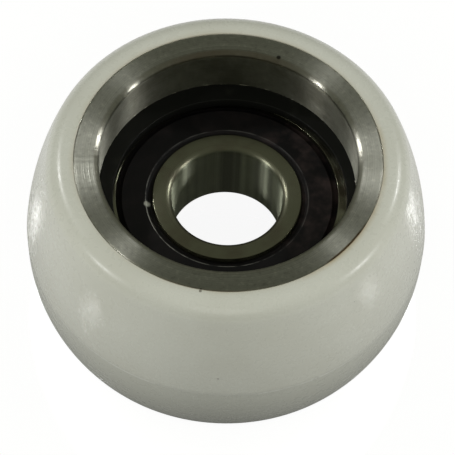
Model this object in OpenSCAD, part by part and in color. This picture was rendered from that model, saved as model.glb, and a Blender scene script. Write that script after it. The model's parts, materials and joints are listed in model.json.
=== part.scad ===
/* [Wheel] */
// Width of the wheel along its axle
wheel_w = 28; // [24:0.5:36]
// Largest diameter of the tread, at its edge line
tread_d = 54.7; // [52:0.1:70]
// Diameter at which the flank would meet the top face, before the corner is rounded
tread_top_d = 48; // [46:0.2:52]
// Diameter of the tread at its bottom face
tread_bottom_d = 49.2; // [46:0.2:54]
// Depth of the tread's edge line below its top face
edge_line_depth = 16; // [12:0.5:20]
// Radius of the crown on the flank above the edge line
flank_crown_r = 54; // [40:1:200]
// Radius of the crown on the bevel below the edge line
bevel_crown_r = 24; // [16:1:100]
// Radius of the tread's top corner
top_corner_r = 3; // [1:0.1:3]
// Step by which the bevel starts inside the flank at the edge line
edge_step = 0.1; // [0.05:0.05:0.3]
// Chamfer at the tread's bottom face
bottom_chamfer = 0.4; // [0.2:0.1:1]

/* [Sleeve] */
// Outer diameter of the steel sleeve
sleeve_d = 41.8; // [40:0.2:44]
// Chamfer at the mouth of the sleeve's bore
mouth_chamfer = 0.4; // [0.2:0.1:1]
// Chamfer on the sleeve's two outer edges
sleeve_edge = 0.2; // [0.1:0.05:0.5]
// Depth of the bearing's face below the sleeve's top face
bearing_depth = 8.8; // [4:0.1:12]
// Radial width of the shoulder that the bearing's outer ring stands on
shoulder_w = 2.3; // [1:0.1:2.6]
// Height of the key groove round the sleeve, filled by the tread
key_groove_h = 8; // [4:0.5:14]
// Depth of the key groove
key_groove_depth = 0.8; // [0.4:0.1:1.5]

/* [Retaining ring] */
// Thickness of the retaining ring
clip_t = 1.5; // [1:0.1:2]
// Depth of its groove in the sleeve's bore
clip_groove_depth = 1; // [0.6:0.1:1.2]
// Axial play of the ring in its groove
clip_groove_play = 0.1; // [0.05:0.05:0.3]
// Radial play between the ring and the bottom of its groove
clip_radial_play = 0.05; // [0.02:0.01:0.1]
// Radial width of the ring opposite its gap
clip_back_w = 3.6; // [2.4:0.1:4.2]
// Radial width of the ring beside its lugs
clip_end_w = 1.5; // [1.4:0.1:2.2]
// Radial height of the lugs
clip_lug_h = 5.2; // [4:0.1:6]
// Width of each lug's rounded end
clip_lug_w = 5; // [4:0.1:6]
// Diameter of the plier holes in the lugs
clip_hole_d = 2.5; // [1.5:0.1:2.8]
// Gap between the two lugs
clip_gap = 5; // [3:0.1:8]
// Direction of the gap, seen from above
clip_gap_angle = -69; // [-180:1:180]

/* [Bearing] */
// Bore of the inner ring
bore_d = 15; // [12:0.5:17]
// Outer diameter of the outer ring
bearing_d = 35; // [34:0.5:37]
// Width of the bearing
bearing_w = 11; // [10.5:0.5:14]
// Chamfer at both mouths of the bore
bore_chamfer = 0.8; // [0.3:0.1:1]
// Chamfer on the outer ring's corners
ring_chamfer = 0.6; // [0.3:0.1:0.8]
// Chamfer on the inner ring's outer corners
lip_seat_chamfer = 0.2; // [0.1:0.05:0.3]
// Diameter of each ball
ball_d = 5.953; // [5:0.1:6]
// Number of balls
ball_count = 8; // [6:1:8]
// Radius of the race grooves, as a share of the ball's diameter
race_conformity = 0.52; // [0.515:0.005:0.53]
// Clearance between each ball and each race
ball_play = 0.03; // [0.01:0.01:0.05]
// Height of the race shoulders above the bottom of the groove
race_shoulder_h = 1.3; // [1:0.1:1.5]

/* [Seals] */
// Depth of the seal's front below the bearing's face
seal_depth = 0.4; // [0.2:0.05:0.6]
// Thickness of the seal
seal_t = 1; // [0.8:0.05:1.1]
// Radial step from the inner ring's land down to the seal lip's seat
lip_step = 0.62; // [0.4:0.02:0.8]
// Radial step from the outer ring's land up to the seal's seat
seat_step = 1; // [0.7:0.05:1.2]
// Depth of the seal's snap groove in the outer ring
snap_depth = 0.3; // [0.1:0.05:0.5]
// Running clearance between the seal's lip and the inner ring
lip_play = 0.05; // [0.02:0.01:0.1]
// Radial distance from the lip's seat out to the seal's ridge
ridge_offset = 0.9; // [0.7:0.05:1.2]
// Radial distance from the seal's seat in to the edge of its raised front
front_offset = 0.75; // [0.4:0.05:1]
// Thickness of the seal's lip
lip_t = 0.35; // [0.2:0.05:0.4]
// Thickness of the steel insert
insert_t = 0.3; // [0.2:0.05:0.4]
// Gap between the seal's back and the inner ring's land
seal_back_gap = 0.2; // [0.1:0.05:0.3]

/* [Cage] */
// Sheet thickness of the cage halves
cage_t = 0.5; // [0.4:0.05:0.6]
// Radial width of the cage
cage_w = 2.3; // [1.6:0.1:2.6]
// Clearance between a ball and its pocket
pocket_play = 0.1; // [0.05:0.01:0.15]
// Diameter of the rivet shanks
rivet_d = 0.9; // [0.6:0.05:1]
// Diameter of the rivet heads
rivet_head_d = 1.5; // [1.2:0.05:1.8]
// Height of the rivet heads
rivet_head_h = 0.35; // [0.2:0.05:0.4]

/* [Hidden] */
$fn = 96;
BALLS = [for (i = [1:ball_count]) i];

// The origin is the middle of the bearing's bore, and Z is the axle.
face_z = bearing_w / 2;
top_z = face_z + bearing_depth;
bottom_z = top_z - wheel_w;
edge_z = top_z - edge_line_depth;

sleeve_r = sleeve_d / 2;
seat_r = bearing_d / 2;
shoulder_r = seat_r - shoulder_w;
key_mid_z = (top_z + bottom_z) / 2;
key_r = sleeve_r - key_groove_depth;

clip_top_z = face_z + clip_t;
clip_groove_r = seat_r + clip_groove_depth;
clip_outer_r = clip_groove_r - clip_radial_play;
// The ring's inner edge is a circle set off towards the gap, so that the ring tapers evenly to its lugs.
clip_inner_r = clip_outer_r - (clip_back_w + clip_end_w) / 2;
clip_offset = (clip_back_w - clip_end_w) / 2;
clip_lug_r = clip_outer_r - clip_lug_h;
clip_hole_x = clip_lug_r + clip_lug_w / 2;
clip_hole_y = (clip_gap + clip_lug_w) / 2;

pitch_r = (bore_d + bearing_d) / 4;
ball_r = ball_d / 2;
race_r = race_conformity * ball_d;
race_shift = race_r - ball_r - ball_play;
inner_land_r = pitch_r - ball_r + race_shoulder_h;
outer_land_r = pitch_r + ball_r - race_shoulder_h;

lip_seat_r = inner_land_r - lip_step;
seal_seat_r = outer_land_r + seat_step;
seal_front_z = face_z - seal_depth;
seal_back_z = seal_front_z - seal_t;
snap_h = seal_t / 2;
lip_r = lip_seat_r + lip_play;
ridge_r = lip_seat_r + ridge_offset;
front_r = seal_seat_r - front_offset;

pocket_r = ball_r + pocket_play;
cage_inner_r = pitch_r - cage_w / 2;
cage_outer_r = pitch_r + cage_w / 2;
ball_step = 360 / ball_count;

// Length by which a cut passes a face.
over = 1;
// Half the height of any cutting body.
far = 2 * wheel_w;

// Centre of the arc of radius r that bulges away from the axis and passes from p down to q.
function arc_centre(p, q, r) =
    let (chord = q - p, half = norm(chord) / 2, toward_axis = [chord.y, -chord.x] / norm(chord))
    (p + q) / 2 + toward_axis * sqrt(r * r - half * half);

// Centre of the rounded corner of radius r between the top face and an arc.
function corner_centre(arc, arc_r, r) =
    let (h = top_z - r)
    [arc.x + sqrt(pow(arc_r - r, 2) - pow(h - arc.y, 2)), h];

// What the rounded corner takes away: the wedge from the flank's direction to straight up, outside the circle.
module corner_waste(centre, r, flank_angle) {
    reach = 4 * r;
    translate(centre) difference() {
        polygon([[0, 0], reach * [cos(flank_angle), sin(flank_angle)], [reach, reach], [0, reach]]);
        circle(r);
    }
}

module tread_profile() {
    edge_r = tread_d / 2;
    bottom_r = tread_bottom_d / 2;
    flank = arc_centre([tread_top_d / 2, top_z], [edge_r, edge_z], flank_crown_r);
    bevel = arc_centre([edge_r - edge_step, edge_z], [bottom_r, bottom_z], bevel_crown_r);
    corner = corner_centre(flank, flank_crown_r, top_corner_r);
    difference() {
        union() {
            intersection() {
                translate([0, edge_z]) square([tread_d, top_z - edge_z]);
                translate(flank) circle(flank_crown_r, $fn = 360);
            }
            intersection() {
                translate([0, bottom_z]) square([tread_d, edge_z - bottom_z]);
                translate(bevel) circle(bevel_crown_r, $fn = 360);
            }
        }
        corner_waste(corner, top_corner_r, atan2(corner.y - flank.y, corner.x - flank.x));
        polygon([
            [bottom_r - bottom_chamfer, bottom_z],
            [bottom_r + over, bottom_z + bottom_chamfer + over],
            [bottom_r + over, bottom_z - over],
            [bottom_r - bottom_chamfer, bottom_z - over]
        ]);
    }
}

// Outer surface of the sleeve: chamfered edges and the key groove.
module sleeve_outline() {
    polygon([
        [0, bottom_z],
        [sleeve_r - sleeve_edge, bottom_z],
        [sleeve_r, bottom_z + sleeve_edge],
        [sleeve_r, key_mid_z - key_groove_h / 2],
        [key_r, key_mid_z - key_groove_h / 2],
        [key_r, key_mid_z + key_groove_h / 2],
        [sleeve_r, key_mid_z + key_groove_h / 2],
        [sleeve_r, top_z - sleeve_edge],
        [sleeve_r - sleeve_edge, top_z],
        [0, top_z]
    ]);
}

module nylon_tread() {
    color("ivory") rotate_extrude() difference() {
        tread_profile();
        // The nylon fills the key groove, and leaves the sleeve's chamfered edges free.
        translate([0, bottom_z - over]) square([key_r, wheel_w + 2 * over]);
        translate([0, bottom_z - over]) square([sleeve_r, key_mid_z - key_groove_h / 2 - bottom_z + over]);
        translate([0, key_mid_z + key_groove_h / 2]) square([sleeve_r, top_z - key_mid_z]);
    }
}

module steel_sleeve() {
    color("silver") rotate_extrude() difference() {
        sleeve_outline();
        // Hole through the shoulder, chamfered at the bottom face.
        polygon([
            [0, bottom_z - over],
            [shoulder_r + mouth_chamfer + over, bottom_z - over],
            [shoulder_r, bottom_z + mouth_chamfer],
            [shoulder_r, top_z],
            [0, top_z]
        ]);
        // Seat of the bearing, chamfered at the top face.
        polygon([
            [0, -face_z],
            [seat_r, -face_z],
            [seat_r, top_z - mouth_chamfer],
            [seat_r + mouth_chamfer + over, top_z + over],
            [0, top_z + over]
        ]);
        // Groove of the retaining ring.
        translate([0, face_z - clip_groove_play]) square([clip_groove_r, clip_t + clip_groove_play]);
    }
}

module retaining_ring() {
    color("dimgray") translate([0, 0, face_z]) rotate(clip_gap_angle) linear_extrude(clip_t) difference() {
        circle(clip_outer_r, $fn = 180);
        difference() {
            translate([clip_offset, 0]) circle(clip_inner_r, $fn = 180);
            for (side = [-1, 1]) translate([clip_hole_x, side * clip_hole_y]) {
                circle(d = clip_lug_w);
                translate([0, -clip_lug_w / 2]) square([clip_lug_h, clip_lug_w]);
            }
        }
        translate([0, -clip_gap / 2]) square([far, clip_gap]);
        for (side = [-1, 1]) translate([clip_hole_x, side * clip_hole_y]) circle(d = clip_hole_d);
    }
}

// Half of a ring's profile that both sides of the bearing share.
module both_sides() {
    children();
    mirror([0, 1]) children();
}

module bearing_outer_ring() {
    color("lightgray") rotate_extrude() difference() {
        polygon([
            [outer_land_r, -face_z],
            [seat_r - ring_chamfer, -face_z],
            [seat_r, -face_z + ring_chamfer],
            [seat_r, face_z - ring_chamfer],
            [seat_r - ring_chamfer, face_z],
            [outer_land_r, face_z]
        ]);
        translate([pitch_r - race_shift, 0]) circle(race_r);
        both_sides() {
            translate([0, seal_back_z]) square([seal_seat_r, bearing_w]);
            translate([0, seal_back_z]) square([seal_seat_r + snap_depth, snap_h]);
        }
    }
}

module bearing_inner_ring() {
    bore_r = bore_d / 2;
    seat_depth = seal_depth + seal_t + seal_back_gap;
    color("silver") rotate_extrude() difference() {
        polygon([
            [bore_r, -face_z + bore_chamfer],
            [bore_r + bore_chamfer, -face_z],
            [inner_land_r, -face_z],
            [inner_land_r, face_z],
            [bore_r + bore_chamfer, face_z],
            [bore_r, face_z - bore_chamfer]
        ]);
        translate([pitch_r + race_shift, 0]) circle(race_r);
        both_sides() polygon([
            [lip_seat_r, face_z - seat_depth],
            [far, face_z - seat_depth],
            [far, face_z + over],
            [lip_seat_r - lip_seat_chamfer - over, face_z + over],
            [lip_seat_r - lip_seat_chamfer, face_z],
            [lip_seat_r, face_z - lip_seat_chamfer]
        ]);
    }
}

// Seal with its front at the top; the steel insert lies in its back.
module seal() {
    lip_z = seal_back_z + lip_t;
    rotate_extrude() difference() {
        polygon([
            [lip_r, lip_z],
            [ridge_r, seal_back_z],
            [seal_seat_r + snap_depth, seal_back_z],
            [seal_seat_r + snap_depth, seal_back_z + snap_h],
            [front_r, seal_back_z + snap_h],
            [front_r, seal_front_z],
            [ridge_r, seal_front_z],
            [ridge_r - lip_t, lip_z + lip_t],
            [lip_r, lip_z + lip_t]
        ]);
        insert_profile();
    }
}

module insert_profile() {
    translate([ridge_r + lip_t, seal_back_z]) square([front_r - ridge_r - lip_t, insert_t]);
}

module seal_insert() {
    rotate_extrude() insert_profile();
}

module seal_upper() {
    color("#26211f") seal();
}

module seal_upper_insert() {
    color("gray") seal_insert();
}

module seal_lower() {
    color("#26211f") mirror([0, 0, 1]) seal();
}

module seal_lower_insert() {
    color("gray") mirror([0, 0, 1]) seal_insert();
}

module at_pitch(angle) {
    rotate(angle) translate([pitch_r, 0, 0]) children();
}

// Pressed half of the ribbon cage: flats on the middle plane, and a round pocket over each ball.
module cage_half() {
    difference() {
        intersection() {
            union() {
                cylinder(h = cage_t, r = cage_outer_r);
                for (i = BALLS) at_pitch(i * ball_step) sphere(pocket_r + cage_t);
            }
            difference() {
                cylinder(h = far, r = cage_outer_r);
                translate([0, 0, -over]) cylinder(h = far + 2 * over, r = cage_inner_r);
            }
        }
        for (i = BALLS) at_pitch(i * ball_step) sphere(pocket_r);
        for (i = BALLS) at_pitch((i + 0.5) * ball_step) translate([0, 0, -over])
            cylinder(h = cage_t + 2 * over, d = rivet_d);
    }
}

module cage_upper() {
    color("darkgray") cage_half();
}

module cage_lower() {
    color("darkgray") mirror([0, 0, 1]) cage_half();
}

module ball(i) {
    color("gainsboro") at_pitch(i * ball_step) sphere(d = ball_d);
}

module cage_rivet(i) {
    grip = 2 * cage_t;
    dome_r = (pow(rivet_head_d / 2, 2) + pow(rivet_head_h, 2)) / (2 * rivet_head_h);
    color("darkgray") at_pitch((i + 0.5) * ball_step) {
        cylinder(h = grip, d = rivet_d, center = true);
        for (side = [0, 1]) mirror([0, 0, side]) intersection() {
            translate([0, 0, grip / 2 + rivet_head_h - dome_r]) sphere(dome_r);
            translate([0, 0, grip / 2]) cylinder(h = rivet_head_h + over, d = rivet_head_d);
        }
    }
}

nylon_tread();
steel_sleeve();
retaining_ring();
bearing_outer_ring();
bearing_inner_ring();
seal_upper();
seal_upper_insert();
seal_lower();
seal_lower_insert();
cage_upper();
cage_lower();
for (i = BALLS) ball(i);
for (i = BALLS) cage_rivet(i);
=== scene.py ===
import json
import math
from math import cos, pi, radians, sin, sqrt, tau

import bmesh
import bpy
from bpy.props import FloatProperty, FloatVectorProperty, IntProperty, PointerProperty
from mathutils import Matrix, Vector


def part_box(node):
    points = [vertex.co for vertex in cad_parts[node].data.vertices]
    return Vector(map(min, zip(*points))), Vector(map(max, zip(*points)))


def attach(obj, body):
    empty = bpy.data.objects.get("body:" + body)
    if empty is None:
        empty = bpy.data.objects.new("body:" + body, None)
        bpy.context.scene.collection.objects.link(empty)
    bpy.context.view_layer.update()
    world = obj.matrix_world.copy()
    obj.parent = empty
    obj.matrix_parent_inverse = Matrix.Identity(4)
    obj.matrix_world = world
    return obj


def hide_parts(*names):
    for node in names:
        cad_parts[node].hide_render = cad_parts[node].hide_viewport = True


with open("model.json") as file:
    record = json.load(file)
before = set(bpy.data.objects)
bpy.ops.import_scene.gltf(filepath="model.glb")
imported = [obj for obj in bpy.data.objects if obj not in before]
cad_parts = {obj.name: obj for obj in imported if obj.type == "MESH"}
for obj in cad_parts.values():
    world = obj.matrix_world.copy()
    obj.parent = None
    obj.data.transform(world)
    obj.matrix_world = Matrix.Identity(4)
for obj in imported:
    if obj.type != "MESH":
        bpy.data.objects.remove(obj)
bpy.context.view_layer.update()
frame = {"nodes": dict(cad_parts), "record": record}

bl_info = {
    "name": "Garage Door Roller",
    "version": (1, 0, 0),
    "blender": (4, 5, 0),
    "location": "3D View > Sidebar > Roller",
    "description": "Finished pieces of a sealed-bearing garage door roller, built over its frame",
    "category": "Object",
}

MM = 0.001


def extent(node):
    """Outer radius, lowest and highest point of a node that is turned about the axle."""
    low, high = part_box(node)
    return min(high[0], high[1], -low[0], -low[1]), low[2], high[2]


TREAD_R, BOTTOM_Z, TOP_Z = extent("nylon_tread")
SLEEVE_R = extent("steel_sleeve")[0]
CLIP_R, CLIP_BOTTOM_Z, CLIP_TOP_Z = extent("retaining_ring")
SEAT_R, RING_BOTTOM_Z, RING_TOP_Z = extent("bearing_outer_ring")
INNER_LAND_R = extent("bearing_inner_ring")[0]
SEAL_R, SEAL_BACK_Z, SEAL_FRONT_Z = extent("seal_upper")
BALL_LOW, BALL_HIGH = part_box("ball_8")
PITCH_R = (BALL_LOW[0] + BALL_HIGH[0]) / 2
BALL_R = (BALL_HIGH[0] - BALL_LOW[0]) / 2
BORE_R = frame["record"]["mounts"][0]["dims"]["r_mm"] * MM
SEAL_MID_Z = (SEAL_BACK_Z + SEAL_FRONT_Z) / 2
TOUCHING = 1e-7  # Two points that are closer than this are one.


# ---------------- settings


def length(name, description, default):
    return FloatProperty(name=name, description=description, default=default * MM, min=0.0,
                         unit="LENGTH", subtype="DISTANCE", precision=5)


def colour(name, description, default):
    return FloatVectorProperty(name=name, description=description, default=default, size=3,
                               min=0.0, max=1.0, subtype="COLOR")


def share(name, description, default):
    return FloatProperty(name=name, description=description, default=default, min=0.0, max=1.0,
                         subtype="FACTOR")


def level(name, description, default):
    return FloatProperty(name=name, description=description, default=default, min=0.0)


def angle(name, description, default):
    return FloatProperty(name=name, description=description, default=radians(default),
                         unit="ROTATION", subtype="ANGLE")


class RollerSizes(bpy.types.PropertyGroup):
    """Sizes of the finished pieces that their solids' boxes do not already give."""

    turn_steps: IntProperty(name="Turn steps", description="Facets round the large pieces",
                            default=256, min=32, max=512)
    tread_top_r: length("Tread top radius", "Radius at which the flank would meet the top face", 24)
    tread_bottom_r: length("Tread bottom radius", "Radius at which the bevel meets the bottom face", 24.6)
    edge_line_depth: length("Edge line depth", "From the top face down to the line round the tread", 16)
    edge_step: length("Edge step", "Width of the small step at the edge line", 0.1)
    flank_crown_r: length("Flank crown", "Radius of the flank's bulge above the edge line", 54)
    bevel_crown_r: length("Bevel crown", "Radius of the bulge below the edge line", 24)
    top_corner_r: length("Top corner", "Radius of the rounded corner at the top face", 3)
    bottom_corner: length("Bottom corner", "Rounding at the bottom face", 0.4)
    key_groove_h: length("Key groove height", "Height of the groove that locks the tread", 8)
    key_groove_depth: length("Key groove depth", "Depth of the groove that locks the tread", 0.8)
    sleeve_edge: length("Sleeve edge", "Chamfer of the sleeve's outer edges", 0.2)
    mouth_w: length("Mouth width", "Width of the rounded mouth of each recess", 0.8)
    mouth_depth: length("Mouth depth", "Depth of the rounded mouth of each recess", 0.4)
    shoulder_w: length("Shoulder", "Width of the shoulder under the bearing", 2.3)
    clip_groove_depth: length("Ring groove depth", "Depth of the retaining ring's groove", 1)
    clip_groove_play: length("Ring groove play", "Clearance under the retaining ring", 0.1)
    clip_back_w: length("Ring width at the back", "Width opposite the retaining ring's gap", 3.6)
    clip_end_w: length("Ring width at the gap", "Width beside the retaining ring's gap", 1.5)
    clip_gap: length("Ring gap", "Gap between the retaining ring's lugs", 5)
    clip_lug_h: length("Lug reach", "How far the lugs reach in from the outer edge", 5.2)
    clip_lug_w: length("Lug width", "Width of each lug", 5)
    clip_hole_d: length("Pliers hole", "Diameter of the hole in each lug", 2.5)
    clip_gap_angle: angle("Gap direction", "Direction of the retaining ring's gap about the axle", -69)
    race_shoulder_h: length("Race depth", "Depth of the ball tracks", 1.3)
    race_conformity: FloatProperty(name="Race conformity", description="Track radius over ball diameter",
                                   default=0.52, min=0.5, max=0.6)
    ball_play: length("Ball play", "Clearance of a ball in its tracks", 0.03)
    bore_rounding: length("Bore rounding", "Rounded edge of the bearing's bore", 0.9)
    ring_chamfer: length("Outer ring chamfer", "Chamfer of the outer ring's outer edges", 0.6)
    lip_step: length("Lip seat step", "Depth of the seat that each seal lip runs on", 0.62)
    lip_chamfer: length("Lip seat chamfer", "Chamfer of the seat that each seal lip runs on", 0.12)
    seat_step: length("Seal seat step", "Depth of the groove that holds each seal", 1)
    snap_depth: length("Seal bead", "How far each seal snaps into its groove", 0.3)
    lip_play: length("Lip play", "Clearance of a seal lip on the inner ring", 0.05)
    ridge_offset: length("Seal ridge", "From the lip seat out to the ridge of the seal", 0.9)
    front_offset: length("Seal front", "From the seal's seat in to its front edge", 0.75)
    lip_t: length("Lip thickness", "Thickness of the seal's lip", 0.35)
    insert_t: length("Insert thickness", "Thickness of the steel insert in the seal", 0.3)
    seal_back_gap: length("Seal back gap", "Space behind each seal", 0.2)
    fine_edge: length("Fine edge", "Rounding of the small machined edges", 0.06)


class RollerFinishes(bpy.types.PropertyGroup):
    """Colours and sheen of the roller's materials."""

    nylon: colour("Nylon", "Off-white nylon of the tread", (0.54, 0.548, 0.475))
    nylon_shade: colour("Nylon shade", "Slightly deeper tone that clouds the nylon", (0.51, 0.515, 0.44))
    # Darker nylon below the edge line: painted shade of the bevel, which faces down.
    nylon_bevel_shade: colour("Nylon bevel", "Duller nylon below the edge line", (0.42, 0.428, 0.365))
    # Pale line along the edge line: a painted highlight of the fine edge.
    nylon_edge_highlight: colour("Rubbed nylon", "Nylon rubbed pale at the edge line", (0.74, 0.75, 0.68))
    nylon_stain: colour("Nylon stain", "Nylon stained brown beside the sleeve", (0.36, 0.3, 0.17))
    nylon_speck: colour("Nylon speck", "Specks of dirt on the nylon", (0.1, 0.09, 0.07))
    nylon_rough: share("Nylon roughness", "Roughness of the turned nylon", 0.28)
    turned_steel: colour("Turned steel", "Bare steel of the sleeve", (0.61, 0.615, 0.54))
    turned_shade: colour("Turned steel shade", "Darker tone between the tool marks", (0.49, 0.49, 0.42))
    turned_pit: colour("Turned steel pits", "Dark pits of the turned faces", (0.3, 0.29, 0.25))
    turned_glint: colour("Turned steel glints", "Bright grains of the turned faces", (0.8, 0.79, 0.7))
    # Darker steel of the recess wall: painted shade, most at the far side.
    turned_wall_shade: colour("Turned steel wall", "Oily wall of the bearing's recess", (0.16, 0.155, 0.12))
    # Browner, darker steel round the recess's mouth, most at the far side.
    mouth_brown: colour("Tarnish", "Brownish steel round the recess's mouth", (0.24, 0.19, 0.14))
    burr: colour("Burr", "Bright steel worn by the retaining ring", (0.9, 0.88, 0.75))
    # Bright band on the sleeve's outer chamfer beside the tread: a painted highlight.
    rim_highlight: colour("Rim wear", "Bright edge beside the tread", (0.95, 0.93, 0.8))
    steel_speck: colour("Steel speck", "Specks of dirt on the sleeve", (0.03, 0.025, 0.02))
    turned_rough: share("Turned steel roughness", "Roughness of the turned faces", 0.29)
    rust: colour("Rust", "Brown of the rust and dirt at the joint", (0.16, 0.115, 0.06))
    clip_black: colour("Ring black", "Black of the retaining ring", (0.0046, 0.0048, 0.0038))
    clip_worn: colour("Ring wear", "Greyer black where the ring is worn", (0.017, 0.0175, 0.013))
    ground_steel: colour("Ground steel", "Ground steel of the bearing's rings", (0.3, 0.302, 0.215))
    ground_shade: colour("Ground steel shade", "Darker patches of the ground steel", (0.25, 0.235, 0.17))
    bore_bright: colour("Bright bore", "Cleaner steel of the bearing's bore", (0.58, 0.62, 0.46))
    # Dark steel of the bore: oil streaks, and painted shade towards the far side.
    bore_steel: colour("Bore steel", "Oiled steel of the bearing's bore", (0.1, 0.1, 0.078))
    seat_dirt: colour("Seat dirt", "Dirt beside the seal's seat", (0.06, 0.045, 0.03))
    rubber: colour("Seal rubber", "Brownish black of the seals", (0.004, 0.0036, 0.0036))
    rubber_dust: colour("Seal dust", "Brown dust on the seals", (0.03, 0.021, 0.019))
    rubber_chip: colour("Seal chip", "Chip on the seal's ridge", (0.4, 0.41, 0.34))
    # Pale broken line along the seal's ridge: a painted highlight.
    rubber_ridge_highlight: colour("Seal wear", "Worn line along the seal's ridge", (0.24, 0.24, 0.21))
    pressed_steel: colour("Pressed steel", "Sheet steel of the cage and the inserts", (0.5, 0.5, 0.49))
    pressed_shade: colour("Pressed steel shade", "Darker patches of the sheet steel", (0.42, 0.41, 0.39))
    ball_steel: colour("Ball steel", "Polished steel of the balls", (0.7, 0.7, 0.71))
    ball_film: colour("Ball film", "Thin film of grease on the balls", (0.6, 0.6, 0.6))


class RollerStage(bpy.types.PropertyGroup):
    """Camera, lamps and floor."""

    camera_distance: length("Camera distance", "From the camera to the middle of the top face", 627)
    camera_rise: angle("Camera rise", "How far the camera looks down", 56.17)
    camera_roll: angle("Camera roll", "Roll of the camera about its view", 2.2)
    camera_lens: FloatProperty(name="Lens", description="Focal length in millimetres", default=368.7,
                               min=10.0, subtype="DISTANCE_CAMERA")
    framing_right: FloatProperty(
        name="Framing right", default=0.0022,
        description="Place of the top face's middle, right of the frame's middle")
    framing_up: FloatProperty(
        name="Framing up", default=0.1479,
        description="Place of the top face's middle, above the frame's middle")
    lamp_distance: length("Lamp distance", "From the roller to each lamp", 500)
    lamp_size: length("Lamp size", "Diameter of each lamp", 34)
    lamp_level: level("Lamp level", "Brightness that each lamp gives a white face turned to it", 0.125)
    side_level: level("Side level", "Brightness that each side panel gives", 0.36)
    front_level: level("Front level", "Brightness that the panel behind the camera gives", 0.45)
    panel_distance: length("Panel distance", "From the roller to each panel", 700)
    panel_size: length("Panel size", "Diameter of each panel", 340)
    surroundings: colour("Surroundings", "Dim olive grey of the room", (0.135, 0.14, 0.112))
    floor_size: length("Floor size", "From the middle of the floor to its edge", 6000)
    floor: colour("Floor", "Colour of the floor in its own shade", (0.05, 0.05, 0.05))
    floor_shade: colour("Floor shade", "Slightly darker tone of the floor", (0.045, 0.045, 0.045))
    floor_glow: share("Floor whiteness", "How white the floor is seen", 0.93)


# ---------------- modelling


def key_groove(sizes):
    """Radius, lowest and highest point of the groove that locks the tread to the sleeve."""
    middle, half = (BOTTOM_Z + TOP_Z) / 2, sizes.key_groove_h / 2
    return SLEEVE_R - sizes.key_groove_depth, middle - half, middle + half


def lip_seat(sizes):
    """Radius of the seat that each seal lip runs on."""
    return INNER_LAND_R - sizes.lip_step


class Section:
    """Half section of a turned piece, drawn point by point in the XZ plane and turned about Z."""

    def __init__(self, radius, height, soft=0.0):
        self.mesh = bmesh.new()
        self.tip = bmesh.ops.create_vert(self.mesh, co=(radius, 0.0, height))["vert"][0]
        self.start = self.tip
        self.soft = [(self.tip, soft)]

    def line(self, radius, height, soft=0.0):
        """A straight line to a point, whose corner may be softened."""
        step = Vector((radius, 0.0, height)) - self.tip.co
        self.tip = bmesh.ops.extrude_vert_indiv(self.mesh, verts=[self.tip])["verts"][0]
        bmesh.ops.translate(self.mesh, verts=[self.tip], vec=step)
        self.soft.append((self.tip, soft))
        return self

    def arc(self, radius, height, bend, steps, soft=0.0):
        """An arc to a point; a positive bend is clockwise, with +Z up and +R to the right."""
        end = Vector((radius, 0.0, height))
        chord = end - self.tip.co
        half = chord.length / 2
        side = Vector((chord.z, 0.0, -chord.x)).normalized() * math.copysign(1.0, bend)
        centre = (self.tip.co + end) / 2 + side * sqrt(max(bend * bend - half * half, 0.0))
        sweep = math.copysign(2 * math.asin(min(half / abs(bend), 1.0)), bend)
        turned = bmesh.ops.spin(self.mesh, geom=[self.tip], cent=centre, axis=(0.0, 1.0, 0.0),
                                angle=sweep, steps=steps, use_merge=False)
        self.tip = next(v for v in turned["geom_last"] if isinstance(v, bmesh.types.BMVert))
        self.soft.append((self.tip, soft))
        return self

    def turn(self, steps):
        """Closes the section, softens its corners and turns it through a full turn."""
        self.mesh.edges.new((self.tip, self.start))
        bmesh.ops.contextual_create(self.mesh, geom=self.mesh.edges[:])
        for size in sorted({s for _, s in self.soft if s > 0}, reverse=True):
            corners = [v for v, s in self.soft if s == size]
            bmesh.ops.bevel(self.mesh, geom=corners, offset=size, offset_type="OFFSET", segments=3,
                            profile=0.5, affect="VERTICES", material=-1, clamp_overlap=True)
        bmesh.ops.delete(self.mesh, geom=self.mesh.faces[:], context="FACES_ONLY")
        bmesh.ops.spin(self.mesh, geom=self.mesh.verts[:] + self.mesh.edges[:], cent=(0.0, 0.0, 0.0),
                       axis=(0.0, 0.0, 1.0), angle=tau, steps=steps, use_merge=True)
        return self.mesh


def finished(name, mesh, material):
    """Turns a bmesh into a smooth object at the origin, with its faces outward."""
    bmesh.ops.remove_doubles(mesh, verts=mesh.verts[:], dist=TOUCHING)
    bmesh.ops.recalc_face_normals(mesh, faces=mesh.faces[:])
    for face in mesh.faces:
        face.smooth = True
    data = bpy.data.meshes.new(name)
    mesh.to_mesh(data)
    mesh.free()
    data.materials.append(material)
    piece = bpy.data.objects.new(name, data)
    bpy.context.scene.collection.objects.link(piece)
    return piece


def stands_for(piece, node, body):
    """Keeps the piece's large faces flat to their rounded edges and puts it in a node's place."""
    weighting = piece.modifiers.new("face_weighting", "WEIGHTED_NORMAL")
    weighting.mode = "FACE_AREA"
    weighting.weight = 100
    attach(piece, body)
    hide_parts(node)


# ---------------- materials

# Small marks of use: where each lies, its radius and its strength.
NYLON_SPECKS = (
    ((-0.28 * MM, -27.04 * MM, 2.07 * MM), 0.22 * MM, 0.6),
    ((13.16 * MM, -23.97 * MM, -1.77 * MM), 0.25 * MM, 0.6),
    ((17.55 * MM, -18.74 * MM, 9.48 * MM), 0.2 * MM, 0.7),
    ((-3.05 * MM, -20.95 * MM, TOP_Z), 0.26 * MM, 0.8),
)
STEEL_SPECKS = (
    ((-3.0 * MM, -20.7 * MM, TOP_Z), 0.25 * MM, 0.8),
    ((6.3 * MM, 17.2 * MM, TOP_Z), 0.4 * MM, 0.85),
)
SEAL_CHIP, SEAL_CHIP_R = (-10.79 * MM, -1.4 * MM, SEAL_FRONT_Z), 0.6 * MM
# Directions about the axle, in degrees from +X: of the marks of use, and of the far side.
RUST_TURN = -38.0
DIRT_TURN = -98.0
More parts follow.
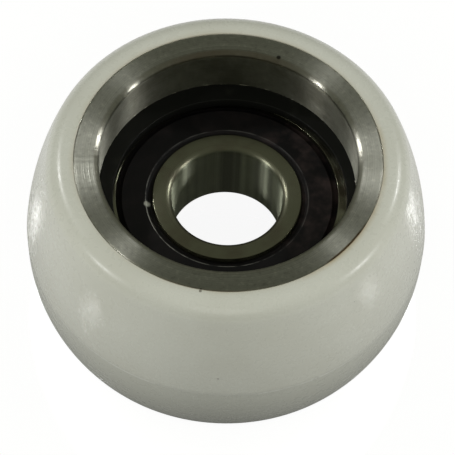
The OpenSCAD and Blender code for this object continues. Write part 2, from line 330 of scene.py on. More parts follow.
# The far side, where the mouth is browner and painted shade darkens the bore.
FAR_SIDE_TURN = 92.0


def sockets(values):
    """Keyword arguments under the names of the sockets that they stand for."""
    return {name.replace("_", " "): value for name, value in values.items()}


class Value:
    """A material socket, so that shader maths reads as plain expressions."""

    def __init__(self, finish, socket):
        self.finish = finish
        self.socket = socket

    def __add__(self, other):
        return self.finish.maths("ADD", self, other)

    __radd__ = __add__

    def __mul__(self, other):
        return self.finish.maths("MULTIPLY", self, other)

    __rmul__ = __mul__

    def __sub__(self, other):
        return self.finish.maths("SUBTRACT", self, other)

    def __rsub__(self, other):
        return self.finish.maths("SUBTRACT", other, self)

    def __truediv__(self, other):
        return self.finish.maths("DIVIDE", self, other)

    def __rtruediv__(self, other):
        return self.finish.maths("DIVIDE", other, self)

    def __abs__(self):
        return self.finish.maths("ABSOLUTE", self)

    def clamped(self):
        """Held between 0 and 1."""
        return self.finish.maths("ADD", self, 0.0, clamp=True)

    def between(self, low, high):
        """0 below low, 1 above high, and smooth between them."""
        return self.finish.node("ShaderNodeMapRange", {"interpolation_type": "SMOOTHSTEP"},
                                {"Value": self, "From Min": low, "From Max": high})


class Finish:
    """A procedural material on object coordinates, built round its own Principled shader."""

    def __init__(self, name, **constants):
        self.material = bpy.data.materials.new(name)
        self.material.use_nodes = True
        self.tree = self.material.node_tree
        self.principled = self.tree.nodes["Principled BSDF"]
        self.fill(self.principled, sockets(constants))
        self.shader = Value(self, self.principled.outputs["BSDF"])
        self.textures = {}
        self.place = self.node("ShaderNodeTexCoord", output="Object")
        axes = self.node("ShaderNodeSeparateXYZ", inputs={"Vector": self.place}).socket.node.outputs
        self.x, self.y, self.z = (Value(self, axes[axis]) for axis in "XYZ")
        self.radius = self.maths("SQRT", self.x * self.x + self.y * self.y)

    def fill(self, node, inputs):
        """Links or sets a node's sockets."""
        for socket, value in inputs.items():
            if isinstance(value, Value):
                self.tree.links.new(value.socket, node.inputs[socket])
            else:
                node.inputs[socket].default_value = value

    def node(self, kind, settings=None, inputs=None, output=0):
        """Any node: its type, its settings (set first), the values or links of its sockets."""
        made = self.tree.nodes.new(kind)
        for setting, value in (settings or {}).items():
            setattr(made, setting, value)
        self.fill(made, inputs or {})
        return Value(self, made.outputs[output])

    def maths(self, operation, *terms, clamp=False):
        """A Math node on its terms, each a value or a number."""
        return self.node("ShaderNodeMath", {"operation": operation, "use_clamp": clamp},
                         dict(enumerate(terms)))

    def point(self, x=0.0, y=0.0, z=0.0):
        """A place put together from its three parts."""
        return self.node("ShaderNodeCombineXYZ", inputs={"X": x, "Y": y, "Z": z})

    def noise(self, where, scale, detail=3.0, roughness=0.5):
        """Smooth unevenness about 0.5; the scale is in waves per metre."""
        return self.node("ShaderNodeTexNoise", {"noise_dimensions": "3D"},
                         {"Vector": where, "Scale": scale, "Detail": detail, "Roughness": roughness})

    def blend(self, amount, first, second):
        """Colours mixed by an amount."""
        first, second = (c if isinstance(c, Value) else (*c, 1.0) for c in (first, second))
        return self.node("ShaderNodeMix", {"data_type": "RGBA"},
                         {0: amount, 6: first, 7: second}, output=2)

    def spot(self, place, radius):
        """1 within half the radius of a place, fading out to the radius; all in metres."""
        away = self.node("ShaderNodeVectorMath", {"operation": "DISTANCE"},
                         {0: self.place, 1: place}, output="Value")
        return 1.0 - away.between(radius / 2, radius)

    def grooves(self, pitch):
        """Fine tool marks round the axle, on faces and on walls alike."""
        # Radius and height count unequally, because a plain chamfer would else lie along one mark.
        height_share = 1.37
        along = self.radius + self.z * height_share
        return self.noise(self.point(x=along), 1.0 / pitch, 4.0, 0.7)

    def rays(self, count):
        """Fine unevenness that varies round the axle only, so that it lies in radial streaks."""
        # The circle is moved off the noise's lattice planes, along which hard lines would show.
        off_x, off_y, off_z = 2.31, 1.73, 0.41
        around = self.point(self.x / self.radius + off_x, self.y / self.radius + off_y, off_z)
        return self.noise(around, count, 2.0, 0.5)

    def facing(self, turn, spread):
        """1 in a direction about the axle, falling to 0 at the spread to either side, in degrees."""
        full = spread * 0.4
        ahead = self.x * cos(radians(turn)) + self.y * sin(radians(turn))
        return (ahead / self.radius).between(cos(radians(spread)), cos(radians(full)))

    def relief(self, height, distance, strength):
        """A normal for fine unevenness, whose full height is the distance."""
        return self.node("ShaderNodeBump",
                         inputs={"Height": height, "Distance": distance, "Strength": strength})

    def set(self, **textures):
        """Links what varies over the surface to the shader."""
        self.textures = sockets(textures)
        self.fill(self.principled, self.textures)
        return self.material

    def surface(self, shader):
        """Makes a shader the material's surface."""
        self.fill(self.tree.nodes["Material Output"], {"Surface": shader})
        return self.material

    def mixed(self, amount, **constants):
        """Mixes in a second shader, which has the same textures but its own constants."""
        other = self.node("ShaderNodeBsdfPrincipled", inputs={**sockets(constants), **self.textures})
        mix = self.node("ShaderNodeMixShader", inputs={0: amount, 1: self.shader, 2: other})
        return self.surface(mix)


def nylon_finish(colours, sizes):
    nylon = Finish("nylon_satin", IOR=1.53)
    clouds = nylon.noise(nylon.place, 90.0, 3.0)
    tone = nylon.blend(clouds.between(0.35, 0.7), colours.nylon, colours.nylon_shade)
    edge_z, line_half = TOP_Z - sizes.edge_line_depth, 0.08 * MM
    below = 1.0 - nylon.z.between(edge_z - line_half, edge_z + line_half)
    # Painted shade: the nylon below the edge line is darkened, as the bevel faces down.
    tone = nylon.blend(below * 0.5, tone, colours.nylon_bevel_shade)
    # Painted highlight: a pale line along the edge line, broken up by the clouds.
    highlighted = 1.0 - abs(nylon.z - edge_z).between(line_half, 0.3 * MM)
    tone = nylon.blend(highlighted * (0.2 + clouds.between(0.4, 0.6) * 0.5), tone, colours.nylon_edge_highlight)
    face = nylon.z.between(TOP_Z - 0.6 * MM, TOP_Z)
    stain = nylon.noise(nylon.place, 160.0, 4.0).between(0.4, 0.7)
    near_sleeve = 1.0 - nylon.radius.between(SLEEVE_R, SLEEVE_R + 0.9 * MM)
    brown = nylon.facing(RUST_TURN, 14.0)
    stained = 0.1 + stain * 0.15 + nylon.facing(-22.0, 50.0) * (0.2 + stain * 0.3) + brown * 0.2
    tone = nylon.blend(near_sleeve * face * stained, tone, colours.nylon_stain)
    joint = (1.0 - nylon.radius.between(SLEEVE_R + 0.02 * MM, SLEEVE_R + 0.2 * MM)) * face
    line = (brown + nylon.facing(DIRT_TURN, 22.0) * 0.6).clamped()
    tone = nylon.blend(joint * (0.25 + line * 0.7), tone, colours.rust)
    for place, radius, strength in NYLON_SPECKS:
        tone = nylon.blend(nylon.spot(place, radius) * strength, tone, colours.nylon_speck)
    dimples = nylon.noise(nylon.place, 1000.0, 2.0, 0.5)
    flank = 1.0 - nylon.z.between(TOP_Z - 9.0 * MM, TOP_Z - 3.0 * MM)
    rough = colours.nylon_rough + (clouds - 0.5) * 0.1 + (dimples - 0.5) * 0.2
    normal = nylon.relief(dimples * flank, 0.035 * MM, 0.7)
    return nylon.set(Base_Color=tone, Roughness=rough, Normal=normal)


def turned_steel_finish(colours, sizes):
    steel = Finish("turned_steel", Metallic=1.0, Anisotropic=1.0, Anisotropic_Rotation=0.25)
    lines = steel.grooves(0.16 * MM)
    patches = steel.noise(steel.place, 180.0, 4.0, 0.6)
    tone = steel.blend(lines.between(0.3, 0.75), colours.turned_steel, colours.turned_shade)
    flecks = steel.noise(steel.place, 1400.0, 3.0, 0.6)
    tone = steel.blend(flecks.between(0.5, 0.75) * 0.45, tone, colours.turned_pit)
    tone = steel.blend((1.0 - flecks.between(0.3, 0.45)) * 0.5, tone, colours.turned_glint)
    mouth = 1.0 - steel.radius.between(SEAT_R + 0.5 * MM, SEAT_R + 0.9 * MM)
    face = steel.z.between(TOP_Z - 1.2 * MM, TOP_Z - 0.5 * MM)
    # The mouth is made browner and darker, a little all round and most at the far side.
    mouth_brown = mouth * (0.2 + steel.facing(FAR_SIDE_TURN, 40.0) * (0.3 + patches * 0.4)) * face
    tone = steel.blend(mouth_brown, tone, colours.mouth_brown)
    # Painted shade: the recess wall is darkened in uneven patches, most at the far side.
    wall = (1.0 - steel.radius.between(SEAT_R + 0.05 * MM, SEAT_R + 0.2 * MM)) * (1.0 - face)
    shade = 0.3 + patches.between(0.3, 0.7) * 0.35 + steel.facing(90.0, 75.0) * 0.3
    tone = steel.blend(wall * shade, tone, colours.turned_wall_shade)
    burr = (1.0 - steel.z.between(CLIP_TOP_Z + 0.05 * MM, CLIP_TOP_Z + 0.22 * MM)) * wall
    burr = burr * steel.noise(steel.place, 1100.0, 2.0).between(0.56, 0.66)
    tone = steel.blend(burr, tone, colours.burr)
    rim = steel.radius.between(SLEEVE_R - 0.34 * MM, SLEEVE_R - 0.12 * MM)
    # Painted highlight: a bright patchy band on the rim's chamfer, towards the near left.
    wear_and_highlight = rim * steel.facing(-120.0, 62.0) * patches.between(0.3, 0.55) * 0.5
    tone = steel.blend(wear_and_highlight, tone, colours.rim_highlight)
    brown = (steel.facing(RUST_TURN, 14.0) + steel.facing(DIRT_TURN, 20.0) * 0.4).clamped()
    rust = rim * brown * patches.between(0.35, 0.6)
    tone = steel.blend(rust, tone, colours.rust)
    for place, radius, strength in STEEL_SPECKS:
        tone = steel.blend(steel.spot(place, radius) * strength, tone, colours.steel_speck)
    dull = (1.0 - mouth * face) * lines.between(0.4, 0.56)
    rough = colours.turned_rough + dull * 0.45 + (patches - 0.5) * 0.06 + rust * 0.2
    normal = steel.relief(lines * 0.1 + steel.rays(36.0) * 0.9, 0.009 * MM, 0.8)
    return steel.set(Base_Color=tone, Roughness=rough, Normal=normal)


def clip_finish(colours, sizes):
    black = Finish("black_spring_steel", Metallic=0.0, Specular_IOR_Level=0.3)
    grain = black.noise(black.place, 1500.0, 3.0)
    worn_and_highlit = black.noise(black.place, 400.0, 4.0).between(0.55, 0.8)
    tone = black.blend(worn_and_highlit * 0.4, colours.clip_black, colours.clip_worn)
    rough = 0.42 + (grain - 0.5) * 0.2
    return black.set(Base_Color=tone, Roughness=rough, Normal=black.relief(grain, 0.01 * MM, 0.5))


def ground_steel_finish(colours, sizes):
    steel = Finish("ground_steel", Metallic=1.0, Anisotropic=0.6, Anisotropic_Rotation=0.25)
    lines = steel.grooves(0.07 * MM)
    rays = steel.rays(8.0)
    patches = steel.noise(steel.place, 260.0, 4.0, 0.6)
    tone = steel.blend(patches.between(0.4, 0.7), colours.ground_steel, colours.ground_shade)
    bore = 1.0 - steel.radius.between(BORE_R + 0.05 * MM, BORE_R + 0.3 * MM)
    tone = steel.blend(bore * 0.8, tone, colours.bore_bright)
    # Oil streaks round the bore, and painted shade that darkens it towards the far side.
    oil_and_shade = rays.between(0.3, 0.7) * 0.32 + steel.facing(FAR_SIDE_TURN, 70.0) * 0.48
    tone = steel.blend(bore * oil_and_shade.clamped(), tone, colours.bore_steel)
    dirt = steel.radius.between(SEAL_R - 0.6 * MM, SEAL_R) * patches.between(0.35, 0.6)
    tone = steel.blend(dirt * 0.85, tone, colours.seat_dirt)
    rounding = 1.0 - steel.radius.between(BORE_R + 0.6 * MM, BORE_R + 1.1 * MM)
    rough = 0.25 + (lines - 0.5) * 0.12 + (patches - 0.5) * 0.08 + rounding * 0.1 + bore * 0.08
    normal = steel.relief(lines * 0.2 + rays * 0.8, 0.015 * MM, 0.7)
    steel.set(Base_Color=tone, Roughness=rough, Normal=normal)
    return steel.mixed(bore, Metallic=1.0, Anisotropic=1.0, Anisotropic_Rotation=0.25)


def rubber_finish(colours, sizes):
    rubber = Finish("seal_rubber", Specular_IOR_Level=0.25)
    grain = rubber.noise(rubber.place, 1900.0, 3.0)
    dust = rubber.noise(rubber.place, 330.0, 4.0, 0.6).between(0.4, 0.75)
    dusty = dust * (0.2 + rubber.facing(10.0, 75.0) * 0.8)
    tone = rubber.blend(dusty, colours.rubber, colours.rubber_dust)
    tone = rubber.blend(rubber.spot(SEAL_CHIP, SEAL_CHIP_R), tone, colours.rubber_chip)
    from_ridge = abs(rubber.radius - (lip_seat(sizes) + sizes.ridge_offset))
    ridge = 1.0 - from_ridge.between(0.02 * MM, 0.1 * MM)
    # Painted highlight: a pale broken line along the ridge, strongest towards the near left.
    worn_and_highlit = rubber.noise(rubber.place, 420.0, 4.0, 0.6).between(0.38, 0.62)
    worn_and_highlit = worn_and_highlit * (0.15 + rubber.facing(-130.0, 90.0) * 0.85)
    tone = rubber.blend(ridge * worn_and_highlit, tone, colours.rubber_ridge_highlight)
    rough = 0.5 + (grain - 0.5) * 0.2 + dust * 0.1
    return rubber.set(Base_Color=tone, Roughness=rough, Normal=rubber.relief(grain, 0.01 * MM, 0.5))


def pressed_steel_finish(colours, sizes):
    steel = Finish("pressed_steel", Metallic=1.0)
    grain = steel.noise(steel.place, 1400.0, 3.0)
    patches = steel.noise(steel.place, 300.0, 3.0)
    tone = steel.blend(patches.between(0.35, 0.7), colours.pressed_steel, colours.pressed_shade)
    rough = 0.32 + (grain - 0.5) * 0.2
    return steel.set(Base_Color=tone, Roughness=rough, Normal=steel.relief(grain, 0.004 * MM, 0.5))


def ball_finish(colours, sizes):
    steel = Finish("ball_steel", Metallic=1.0)
    film = steel.noise(steel.place, 700.0, 3.0)
    tone = steel.blend(film.between(0.3, 0.7), colours.ball_steel, colours.ball_film)
    return steel.set(Base_Color=tone, Roughness=0.08 + film * 0.1)


FINISHES = {
    "nylon": nylon_finish,
    "turned_steel": turned_steel_finish,
    "black_spring_steel": clip_finish,
    "ground_steel": ground_steel_finish,
    "seal_rubber": rubber_finish,
    "pressed_steel": pressed_steel_finish,
    "ball_steel": ball_finish,
}


def finish(context, name):
    """The named material, made the first time that a piece asks for it."""
    made = bpy.data.materials.get("roller_" + name)
    if made is None:
        made = FINISHES[name](context.scene.roller_finishes, context.scene.roller_sizes)
        made.name = "roller_" + name
    return made


# ---------------- pieces


class ROLLER_OT_nylon_tread(bpy.types.Operator):
    """Barrel-shaped nylon tread, with its rounded top corner and the line round its belly"""

    bl_idname = "roller.nylon_tread"
    bl_label = "Nylon Tread"

    def execute(self, context):
        s = context.scene.roller_sizes
        edge_z = TOP_Z - s.edge_line_depth
        key_r, key_low, key_high = key_groove(s)
        # Centres of the flank's arc and of the corner that rounds it into the top face.
        chord = Vector((TREAD_R - s.tread_top_r, edge_z - TOP_Z))
        inward = Vector((chord.y, -chord.x)).normalized()
        flank = Vector((s.tread_top_r, TOP_Z)) + chord / 2 + inward * sqrt(
            s.flank_crown_r ** 2 - (chord.length / 2) ** 2)
        rise = TOP_Z - s.top_corner_r - flank.y
        corner = flank + Vector((sqrt((s.flank_crown_r - s.top_corner_r) ** 2 - rise ** 2), rise))
        meet = flank + (corner - flank).normalized() * s.flank_crown_r
        mesh = (
            Section(SLEEVE_R, BOTTOM_Z, s.fine_edge)
            .line(SLEEVE_R, key_low)
            .line(key_r, key_low)
            .line(key_r, key_high)
            .line(SLEEVE_R, key_high)
            .line(SLEEVE_R, TOP_Z, s.fine_edge)
            .line(corner.x, TOP_Z)
            .arc(meet.x, meet.y, s.top_corner_r, steps=10)
            .arc(TREAD_R, edge_z, s.flank_crown_r, steps=18, soft=1.5 * s.fine_edge)
            .line(TREAD_R - s.edge_step, edge_z)
            .arc(s.tread_bottom_r, BOTTOM_Z, s.bevel_crown_r, steps=12, soft=s.bottom_corner)
            .turn(s.turn_steps)
        )
        piece = finished("tread", mesh, finish(context, "nylon"))
        stands_for(piece, "nylon_tread", "wheel")
        return {"FINISHED"}


class ROLLER_OT_steel_sleeve(bpy.types.Operator):
    """Turned steel sleeve that carries the tread outside and the bearing inside"""

    bl_idname = "roller.steel_sleeve"
    bl_label = "Steel Sleeve"

    def execute(self, context):
        s = context.scene.roller_sizes
        key_r, key_low, key_high = key_groove(s)
        shoulder_r = SEAT_R - s.shoulder_w
        groove_r, groove_z = SEAT_R + s.clip_groove_depth, RING_TOP_Z - s.clip_groove_play
        edge, fine = s.sleeve_edge, s.fine_edge
        mouth, depth = s.mouth_w, s.mouth_depth
        # Radius of the arc that leaves the flat level and drops by the depth over the mouth's width.
        mouth_r = (mouth ** 2 + depth ** 2) / (2 * depth)
        mesh = (
            Section(shoulder_r, BOTTOM_Z + depth, fine)
            .line(shoulder_r, RING_BOTTOM_Z, fine)
            .line(SEAT_R, RING_BOTTOM_Z)
            .line(SEAT_R, groove_z, fine)
            .line(groove_r, groove_z)
            .line(groove_r, CLIP_TOP_Z)
            .line(SEAT_R, CLIP_TOP_Z, fine)
            .line(SEAT_R, TOP_Z - depth, 2 * fine)
            .arc(SEAT_R + mouth, TOP_Z, mouth_r, steps=8)
            .line(SLEEVE_R - edge, TOP_Z, fine)
            .line(SLEEVE_R, TOP_Z - edge, fine)
            .line(SLEEVE_R, key_high)
            .line(key_r, key_high)
            .line(key_r, key_low)
            .line(SLEEVE_R, key_low)
            .line(SLEEVE_R, BOTTOM_Z + edge, fine)
            .line(SLEEVE_R - edge, BOTTOM_Z, fine)
            .line(shoulder_r + mouth, BOTTOM_Z)
            .arc(shoulder_r, BOTTOM_Z + depth, mouth_r, steps=8)
            .turn(s.turn_steps)
        )
        piece = finished("sleeve", mesh, finish(context, "turned_steel"))
        stands_for(piece, "steel_sleeve", "wheel")
        return {"FINISHED"}


class ROLLER_OT_retaining_ring(bpy.types.Operator):
    """Black internal retaining ring that tapers to two lugs with pliers holes"""

    bl_idname = "roller.retaining_ring"
    bl_label = "Retaining Ring"

    def execute(self, context):
        s = context.scene.roller_sizes
        inner_r = CLIP_R - (s.clip_back_w + s.clip_end_w) / 2
        inner = Vector(((s.clip_back_w - s.clip_end_w) / 2, 0.0))
        lug_r = s.clip_lug_w / 2
        lug = Vector((CLIP_R - s.clip_lug_h + lug_r, -(s.clip_gap + s.clip_lug_w) / 2))
        # Where the lug's round end meets the inner edge.
        apart = lug - inner
        along = (inner_r ** 2 - lug_r ** 2 + apart.length_squared) / (2 * apart.length)
        aside = sqrt(inner_r ** 2 - along ** 2)
        unit = apart.normalized()
        meet = inner + unit * along + Vector((unit.y, -unit.x)) * aside
        gap_half = s.clip_gap / 2
        start = math.asin(gap_half / CLIP_R)
        into_lug = (math.atan2(meet.y - lug.y, meet.x - lug.x) - pi / 2) % tau
        inner_half = abs(math.atan2(meet.y - inner.y, meet.x - inner.x))

        mesh = bmesh.new()
        first = bmesh.ops.create_vert(
            mesh, co=(CLIP_R * cos(start), CLIP_R * sin(start), CLIP_BOTTOM_Z))["vert"][0]

        def sweep(vertex, centre, turn, steps):
            swept = bmesh.ops.spin(mesh, geom=[vertex], cent=(*centre, CLIP_BOTTOM_Z),
                                   axis=(0.0, 0.0, 1.0), angle=turn, steps=steps, use_merge=False)
            return next(v for v in swept["geom_last"] if isinstance(v, bmesh.types.BMVert))

        def straight(vertex, x, y):
            step = Vector((x, y, CLIP_BOTTOM_Z)) - vertex.co
            end = bmesh.ops.extrude_vert_indiv(mesh, verts=[vertex])["verts"][0]
            bmesh.ops.translate(mesh, verts=[end], vec=step)
            return end

        tip = sweep(first, Vector((0.0, 0.0)), tau - 2 * start, s.turn_steps)
        tip = straight(tip, lug.x, -gap_half)
        tip = sweep(tip, lug, into_lug, steps=20)
        tip = sweep(tip, inner, -(tau - 2 * inner_half), s.turn_steps)
        tip = sweep(tip, Vector((lug.x, -lug.y)), into_lug, steps=20)
        mesh.edges.new((tip, first))
        flat = bmesh.ops.contextual_create(mesh, geom=mesh.edges[:])["faces"]
        raised = bmesh.ops.extrude_face_region(mesh, geom=flat)["geom"]
        bmesh.ops.translate(mesh, verts=[v for v in raised if isinstance(v, bmesh.types.BMVert)],
                            vec=(0.0, 0.0, CLIP_TOP_Z - CLIP_BOTTOM_Z))
        rims = [e for e in mesh.edges if abs(e.verts[0].co.z - e.verts[1].co.z) < TOUCHING]
        bmesh.ops.bevel(mesh, geom=rims, offset=1.5 * s.fine_edge, offset_type="OFFSET", segments=2,
                        profile=0.5, affect="EDGES", material=-1, clamp_overlap=True)
        turn = Matrix.Rotation(s.clip_gap_angle, 3, "Z")
        bmesh.ops.rotate(mesh, verts=mesh.verts[:], cent=(0.0, 0.0, 0.0), matrix=turn)
        piece = finished("clip", mesh, finish(context, "black_spring_steel"))
        self.drill(context, piece, turn, lug, s.clip_hole_d / 2)
        stands_for(piece, "retaining_ring", "wheel")
        return {"FINISHED"}

    def drill(self, context, piece, turn, lug, hole_r):
        """Cuts the two pliers holes, and leaves nothing of the drill behind."""
        drill = bmesh.new()
        middle, reach = (CLIP_BOTTOM_Z + CLIP_TOP_Z) / 2, 3 * (CLIP_TOP_Z - CLIP_BOTTOM_Z)
        for side in (-1.0, 1.0):
            at = turn @ Vector((lug.x, side * lug.y, 0.0)) + Vector((0.0, 0.0, middle))
            bmesh.ops.create_cone(drill, cap_ends=True, segments=48, radius1=hole_r, radius2=hole_r,
                                  depth=reach, matrix=Matrix.Translation(at))
        data = bpy.data.meshes.new("drill")
        drill.to_mesh(data)
        drill.free()
        tool = bpy.data.objects.new("drill", data)
        context.scene.collection.objects.link(tool)
        cut = piece.modifiers.new("pliers_holes", "BOOLEAN")
        cut.operation = "DIFFERENCE"
        cut.solver = "EXACT"
        cut.object = tool
        graph = context.evaluated_depsgraph_get()
        drilled = bpy.data.meshes.new_from_object(piece.evaluated_get(graph))
        piece.modifiers.clear()
        whole = piece.data
        piece.data = drilled
        bpy.data.meshes.remove(whole)
        bpy.data.objects.remove(tool)
        bpy.data.meshes.remove(data)
        drilled.name = "clip"
        drilled.set_sharp_from_angle(angle=radians(50))


class ROLLER_OT_bearing_rings(bpy.types.Operator):
    """Outer and inner ring of the ball bearing, with their ball tracks and seal grooves"""

    bl_idname = "roller.bearing_rings"
    bl_label = "Bearing Rings"

    def execute(self, context):
        s = context.scene.roller_sizes
        steel = finish(context, "ground_steel")
        track_r = s.race_conformity * 2 * BALL_R
        shift = track_r - BALL_R - s.ball_play
        land_r = PITCH_R + BALL_R - s.race_shoulder_h
        groove_r = land_r + s.seat_step
        snap_r = groove_r + s.snap_depth
        half = sqrt(track_r ** 2 - (land_r - PITCH_R + shift) ** 2)
        fine, edge = s.fine_edge, s.ring_chamfer
        outer = (
            Section(land_r, -half)
            .arc(land_r, half, track_r, steps=24)
            .line(land_r, SEAL_BACK_Z)
            .line(snap_r, SEAL_BACK_Z)
            .line(snap_r, SEAL_MID_Z)
            .line(groove_r, SEAL_MID_Z)
            .line(groove_r, RING_TOP_Z, fine)
            .line(SEAT_R - edge, RING_TOP_Z, fine)
            .line(SEAT_R, RING_TOP_Z - edge, fine)
            .line(SEAT_R, RING_BOTTOM_Z + edge, fine)
            .line(SEAT_R - edge, RING_BOTTOM_Z, fine)
            .line(groove_r, RING_BOTTOM_Z, fine)
            .line(groove_r, -SEAL_MID_Z)
            .line(snap_r, -SEAL_MID_Z)
            .line(snap_r, -SEAL_BACK_Z)
            .line(land_r, -SEAL_BACK_Z)
            .turn(s.turn_steps)
        )
        stands_for(finished("outer_ring", outer, steel), "bearing_outer_ring", "wheel")

        lip_seat_r = lip_seat(s)
        back_z = SEAL_BACK_Z - s.seal_back_gap
        half = sqrt(track_r ** 2 - (PITCH_R + shift - INNER_LAND_R) ** 2)
        edge, lip = s.bore_rounding, s.lip_chamfer
        inner = (
            Section(BORE_R, RING_BOTTOM_Z + edge)
            .line(BORE_R, RING_TOP_Z - edge)
            .arc(BORE_R + edge, RING_TOP_Z, edge, steps=10)
            .line(lip_seat_r - lip, RING_TOP_Z, fine)
            .line(lip_seat_r, RING_TOP_Z - lip)
            .line(lip_seat_r, back_z)
            .line(INNER_LAND_R, back_z, fine)
            .line(INNER_LAND_R, half)
            .arc(INNER_LAND_R, -half, -track_r, steps=24)
            .line(INNER_LAND_R, -back_z, fine)
            .line(lip_seat_r, -back_z)
            .line(lip_seat_r, RING_BOTTOM_Z + lip)
            .line(lip_seat_r - lip, RING_BOTTOM_Z, fine)
            .line(BORE_R + edge, RING_BOTTOM_Z)
            .arc(BORE_R, RING_BOTTOM_Z + edge, edge, steps=10)
            .turn(s.turn_steps)
        )
        stands_for(finished("inner_ring", inner, steel), "bearing_inner_ring", "inner_ring")
        return {"FINISHED"}


class ROLLER_OT_seals(bpy.types.Operator):
    """The two rubber seals, each with its ridge and lip round the inner ring"""

    bl_idname = "roller.seals"
    bl_label = "Seals"

    def execute(self, context):
        s = context.scene.roller_sizes
        rubber = finish(context, "seal_rubber")
        lip_r = lip_seat(s) + s.lip_play
        ridge_r = lip_seat(s) + s.ridge_offset
        front_r = SEAL_R - s.snap_depth - s.front_offset
        lip_z = SEAL_BACK_Z + s.lip_t
        insert_r, insert_z = ridge_r + s.lip_t, SEAL_BACK_Z + s.insert_t
        fine = s.fine_edge
        for name, up in (("seal_upper", 1.0), ("seal_lower", -1.0)):
            mesh = (
                Section(lip_r, lip_z, fine)
                .line(lip_r, lip_z + s.lip_t, 2 * fine)
                .line(ridge_r - s.lip_t, lip_z + s.lip_t, fine)
                .line(ridge_r, SEAL_FRONT_Z, 1.5 * fine)
                .line(front_r, SEAL_FRONT_Z, 2 * fine)
                .line(front_r, SEAL_MID_Z)
                .line(SEAL_R, SEAL_MID_Z, fine)
                .line(SEAL_R, SEAL_BACK_Z, fine)
                .line(front_r, SEAL_BACK_Z)
                .line(front_r, insert_z)
                .line(insert_r, insert_z)
                .line(insert_r, SEAL_BACK_Z)
                .line(ridge_r, SEAL_BACK_Z)
                .turn(s.turn_steps)
            )
            if up < 0:
                bmesh.ops.scale(mesh, vec=(1.0, 1.0, -1.0), verts=mesh.verts[:])
            stands_for(finished(name + "_dressed", mesh, rubber), name, "wheel")
        return {"FINISHED"}


class ROLLER_OT_rolling_set(bpy.types.Operator):
    """Finishes of the pieces sealed inside the bearing: balls, cage, rivets and seal inserts"""

    bl_idname = "roller.rolling_set"
    bl_label = "Balls and Cage"

    def execute(self, context):
        for node in frame["nodes"]:
            if node.startswith("ball_"):
                steel = "ball_steel"
            elif node.startswith("cage_") or node.endswith("_insert"):
                steel = "pressed_steel"
            else:
                continue
            data = bpy.data.objects[node].data
            data.materials.clear()
            data.materials.append(finish(context, steel))
        return {"FINISHED"}


# ---------------- stage


def direction(turn, rise):
    """Unit vector towards an angle about the axle and above the floor."""
    return Vector((cos(rise) * cos(turn), cos(rise) * sin(turn), sin(rise)))


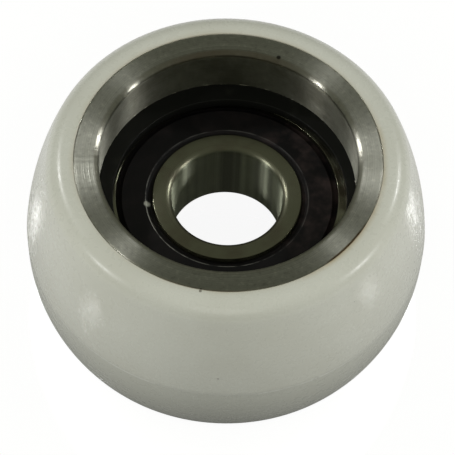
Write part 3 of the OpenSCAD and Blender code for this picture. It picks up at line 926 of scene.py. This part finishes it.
class ROLLER_OT_stage(bpy.types.Operator):
    """Pale floor, four lamps, three soft panels, dim surroundings and the camera"""

    bl_idname = "roller.stage"
    bl_label = "Floor, Lamps and Camera"

    # Directions of the lamps and the panels, in degrees about the axle and above the floor.
    lamps = (
        ("lamp_left_front", -158.7, 33.0),
        ("lamp_left_back", 142.0, 42.0),
        ("lamp_right_back", 35.0, 36.0),
        ("lamp_right_front", -12.2, 27.0),
    )
    panels = (
        ("panel_left", 180.0, 14.0, "side_level"),
        ("panel_right", 0.0, 14.0, "side_level"),
        ("panel_front", -90.0, 46.0, "front_level"),
    )

    def execute(self, context):
        stage = context.scene.roller_stage
        self.make_floor(context, stage)
        self.make_lamps(context, stage)
        self.make_surroundings(context, stage)
        self.make_camera(context, stage)
        context.scene.view_settings.view_transform = "Standard"
        return {"FINISHED"}

    def make_floor(self, context, stage):
        mesh = bmesh.new()
        bmesh.ops.create_grid(mesh, x_segments=1, y_segments=1, size=stage.floor_size,
                              matrix=Matrix.Translation((0.0, 0.0, BOTTOM_Z)))
        data = bpy.data.meshes.new("floor")
        mesh.to_mesh(data)
        mesh.free()
        floor = bpy.data.objects.new("floor", data)
        context.scene.collection.objects.link(floor)
        pale = Finish("floor_pale", Roughness=0.05, Specular_IOR_Level=1.0, IOR=2.2)
        tone = pale.blend(pale.noise(pale.place, 4.0), stage.floor, stage.floor_shade)
        pale.set(Base_Color=tone)
        # Seen by the camera, in metal and through glass, the floor glows white; for metal and glass
        # that glow is dimmed where the roller stands on it and close round it, as a painted shadow.
        path = pale.node("ShaderNodeLightPath").socket.node.outputs
        camera, glossy, through = (Value(pale, path[f"Is {ray} Ray"])
                                   for ray in ("Camera", "Glossy", "Transmission"))
        dark_r, white_r, least = SLEEVE_R - 2 * MM, TREAD_R + 22 * MM, 0.1
        clear = least + pale.radius.between(dark_r, white_r) * (1.0 - least)
        seen = (camera + (glossy + through) * clear).clamped()
        white = pale.blend(seen, (0.0, 0.0, 0.0), (stage.floor_glow,) * 3)
        glow = pale.node("ShaderNodeEmission", inputs={"Color": white, "Strength": 1.0})
        both = pale.node("ShaderNodeAddShader", inputs={0: pale.shader, 1: glow})
        data.materials.append(pale.surface(both))

    def make_lamps(self, context, stage):
        for lamp in self.lamps:
            self.add_lamp(context, *lamp, stage.lamp_distance, stage.lamp_size, stage.lamp_level)
        for *panel, level in self.panels:
            soft = self.add_lamp(context, *panel, stage.panel_distance, stage.panel_size,
                                 getattr(stage, level))
            soft.visible_glossy = False

    @staticmethod
    def add_lamp(context, name, turn, rise, distance, size, level):
        """A round lamp; level 1 lights a white face turned to it to white."""
        centre = Vector((0.0, 0.0, TOP_Z))
        away = direction(radians(turn), radians(rise))
        lamp = bpy.data.lights.new(name, "AREA")
        lamp.shape = "DISK"
        lamp.size = size
        lamp.energy = level * (pi * distance) ** 2
        stand = bpy.data.objects.new(name, lamp)
        stand.matrix_world = Matrix.Translation(centre + away * distance) @ (
            away.to_track_quat("Z", "Y").to_matrix().to_4x4())
        context.scene.collection.objects.link(stand)
        return stand

    @staticmethod
    def make_surroundings(context, stage):
        world = bpy.data.worlds.new("surroundings")
        world.use_nodes = True
        world.node_tree.nodes["Background"].inputs["Color"].default_value = (*stage.surroundings, 1.0)
        context.scene.world = world

    @staticmethod
    def make_camera(context, stage):
        lens = bpy.data.cameras.new("camera")
        lens.lens = stage.camera_lens
        lens.sensor_width = 36.0
        lens.clip_start = 0.01
        lens.clip_end = 20.0
        camera = bpy.data.objects.new("camera", lens)
        back = Vector((0.0, -cos(stage.camera_rise), sin(stage.camera_rise)))
        right = Vector((1.0, 0.0, 0.0))
        level = Matrix((right, back.cross(right), back)).transposed()
        spread = lens.sensor_width / lens.lens
        aim = Vector((stage.framing_right * spread, stage.framing_up * spread, -1.0))
        turn = aim.rotation_difference(Vector((0.0, 0.0, -1.0))).to_matrix()
        roll = Matrix.Rotation(stage.camera_roll, 3, "Z")
        place = Matrix.Translation(Vector((0.0, 0.0, TOP_Z)) + back * stage.camera_distance)
        camera.matrix_world = place @ (level @ roll @ turn).to_4x4()
        context.scene.collection.objects.link(camera)
        context.scene.camera = camera


OPERATORS = (
    ROLLER_OT_nylon_tread,
    ROLLER_OT_steel_sleeve,
    ROLLER_OT_retaining_ring,
    ROLLER_OT_bearing_rings,
    ROLLER_OT_seals,
    ROLLER_OT_rolling_set,
    ROLLER_OT_stage,
)


class ROLLER_PT_sidebar(bpy.types.Panel):
    """The roller's pieces, sizes and colours in the 3D view's sidebar"""

    bl_idname = "ROLLER_PT_sidebar"
    bl_label = "Garage Door Roller"
    bl_space_type = "VIEW_3D"
    bl_region_type = "UI"
    bl_category = "Roller"

    def draw(self, context):
        column = self.layout.column(align=True)
        for operator in OPERATORS:
            column.operator(operator.bl_idname)
        for title, group in (("Sizes", context.scene.roller_sizes),
                             ("Finishes", context.scene.roller_finishes),
                             ("Stage", context.scene.roller_stage)):
            box = self.layout.box()
            box.label(text=title)
            for name in type(group).__annotations__:
                box.prop(group, name)


CLASSES = (RollerSizes, RollerFinishes, RollerStage) + OPERATORS + (ROLLER_PT_sidebar,)


def register():
    for kind in CLASSES:
        bpy.utils.register_class(kind)
    bpy.types.Scene.roller_sizes = PointerProperty(type=RollerSizes)
    bpy.types.Scene.roller_finishes = PointerProperty(type=RollerFinishes)
    bpy.types.Scene.roller_stage = PointerProperty(type=RollerStage)


def unregister():
    del bpy.types.Scene.roller_stage
    del bpy.types.Scene.roller_finishes
    del bpy.types.Scene.roller_sizes
    for kind in reversed(CLASSES):
        bpy.utils.unregister_class(kind)


def main():
    register()
    for operator in OPERATORS:
        group, name = operator.bl_idname.split(".")
        getattr(getattr(bpy.ops, group), name)()


if __name__ == "__main__":
    main()
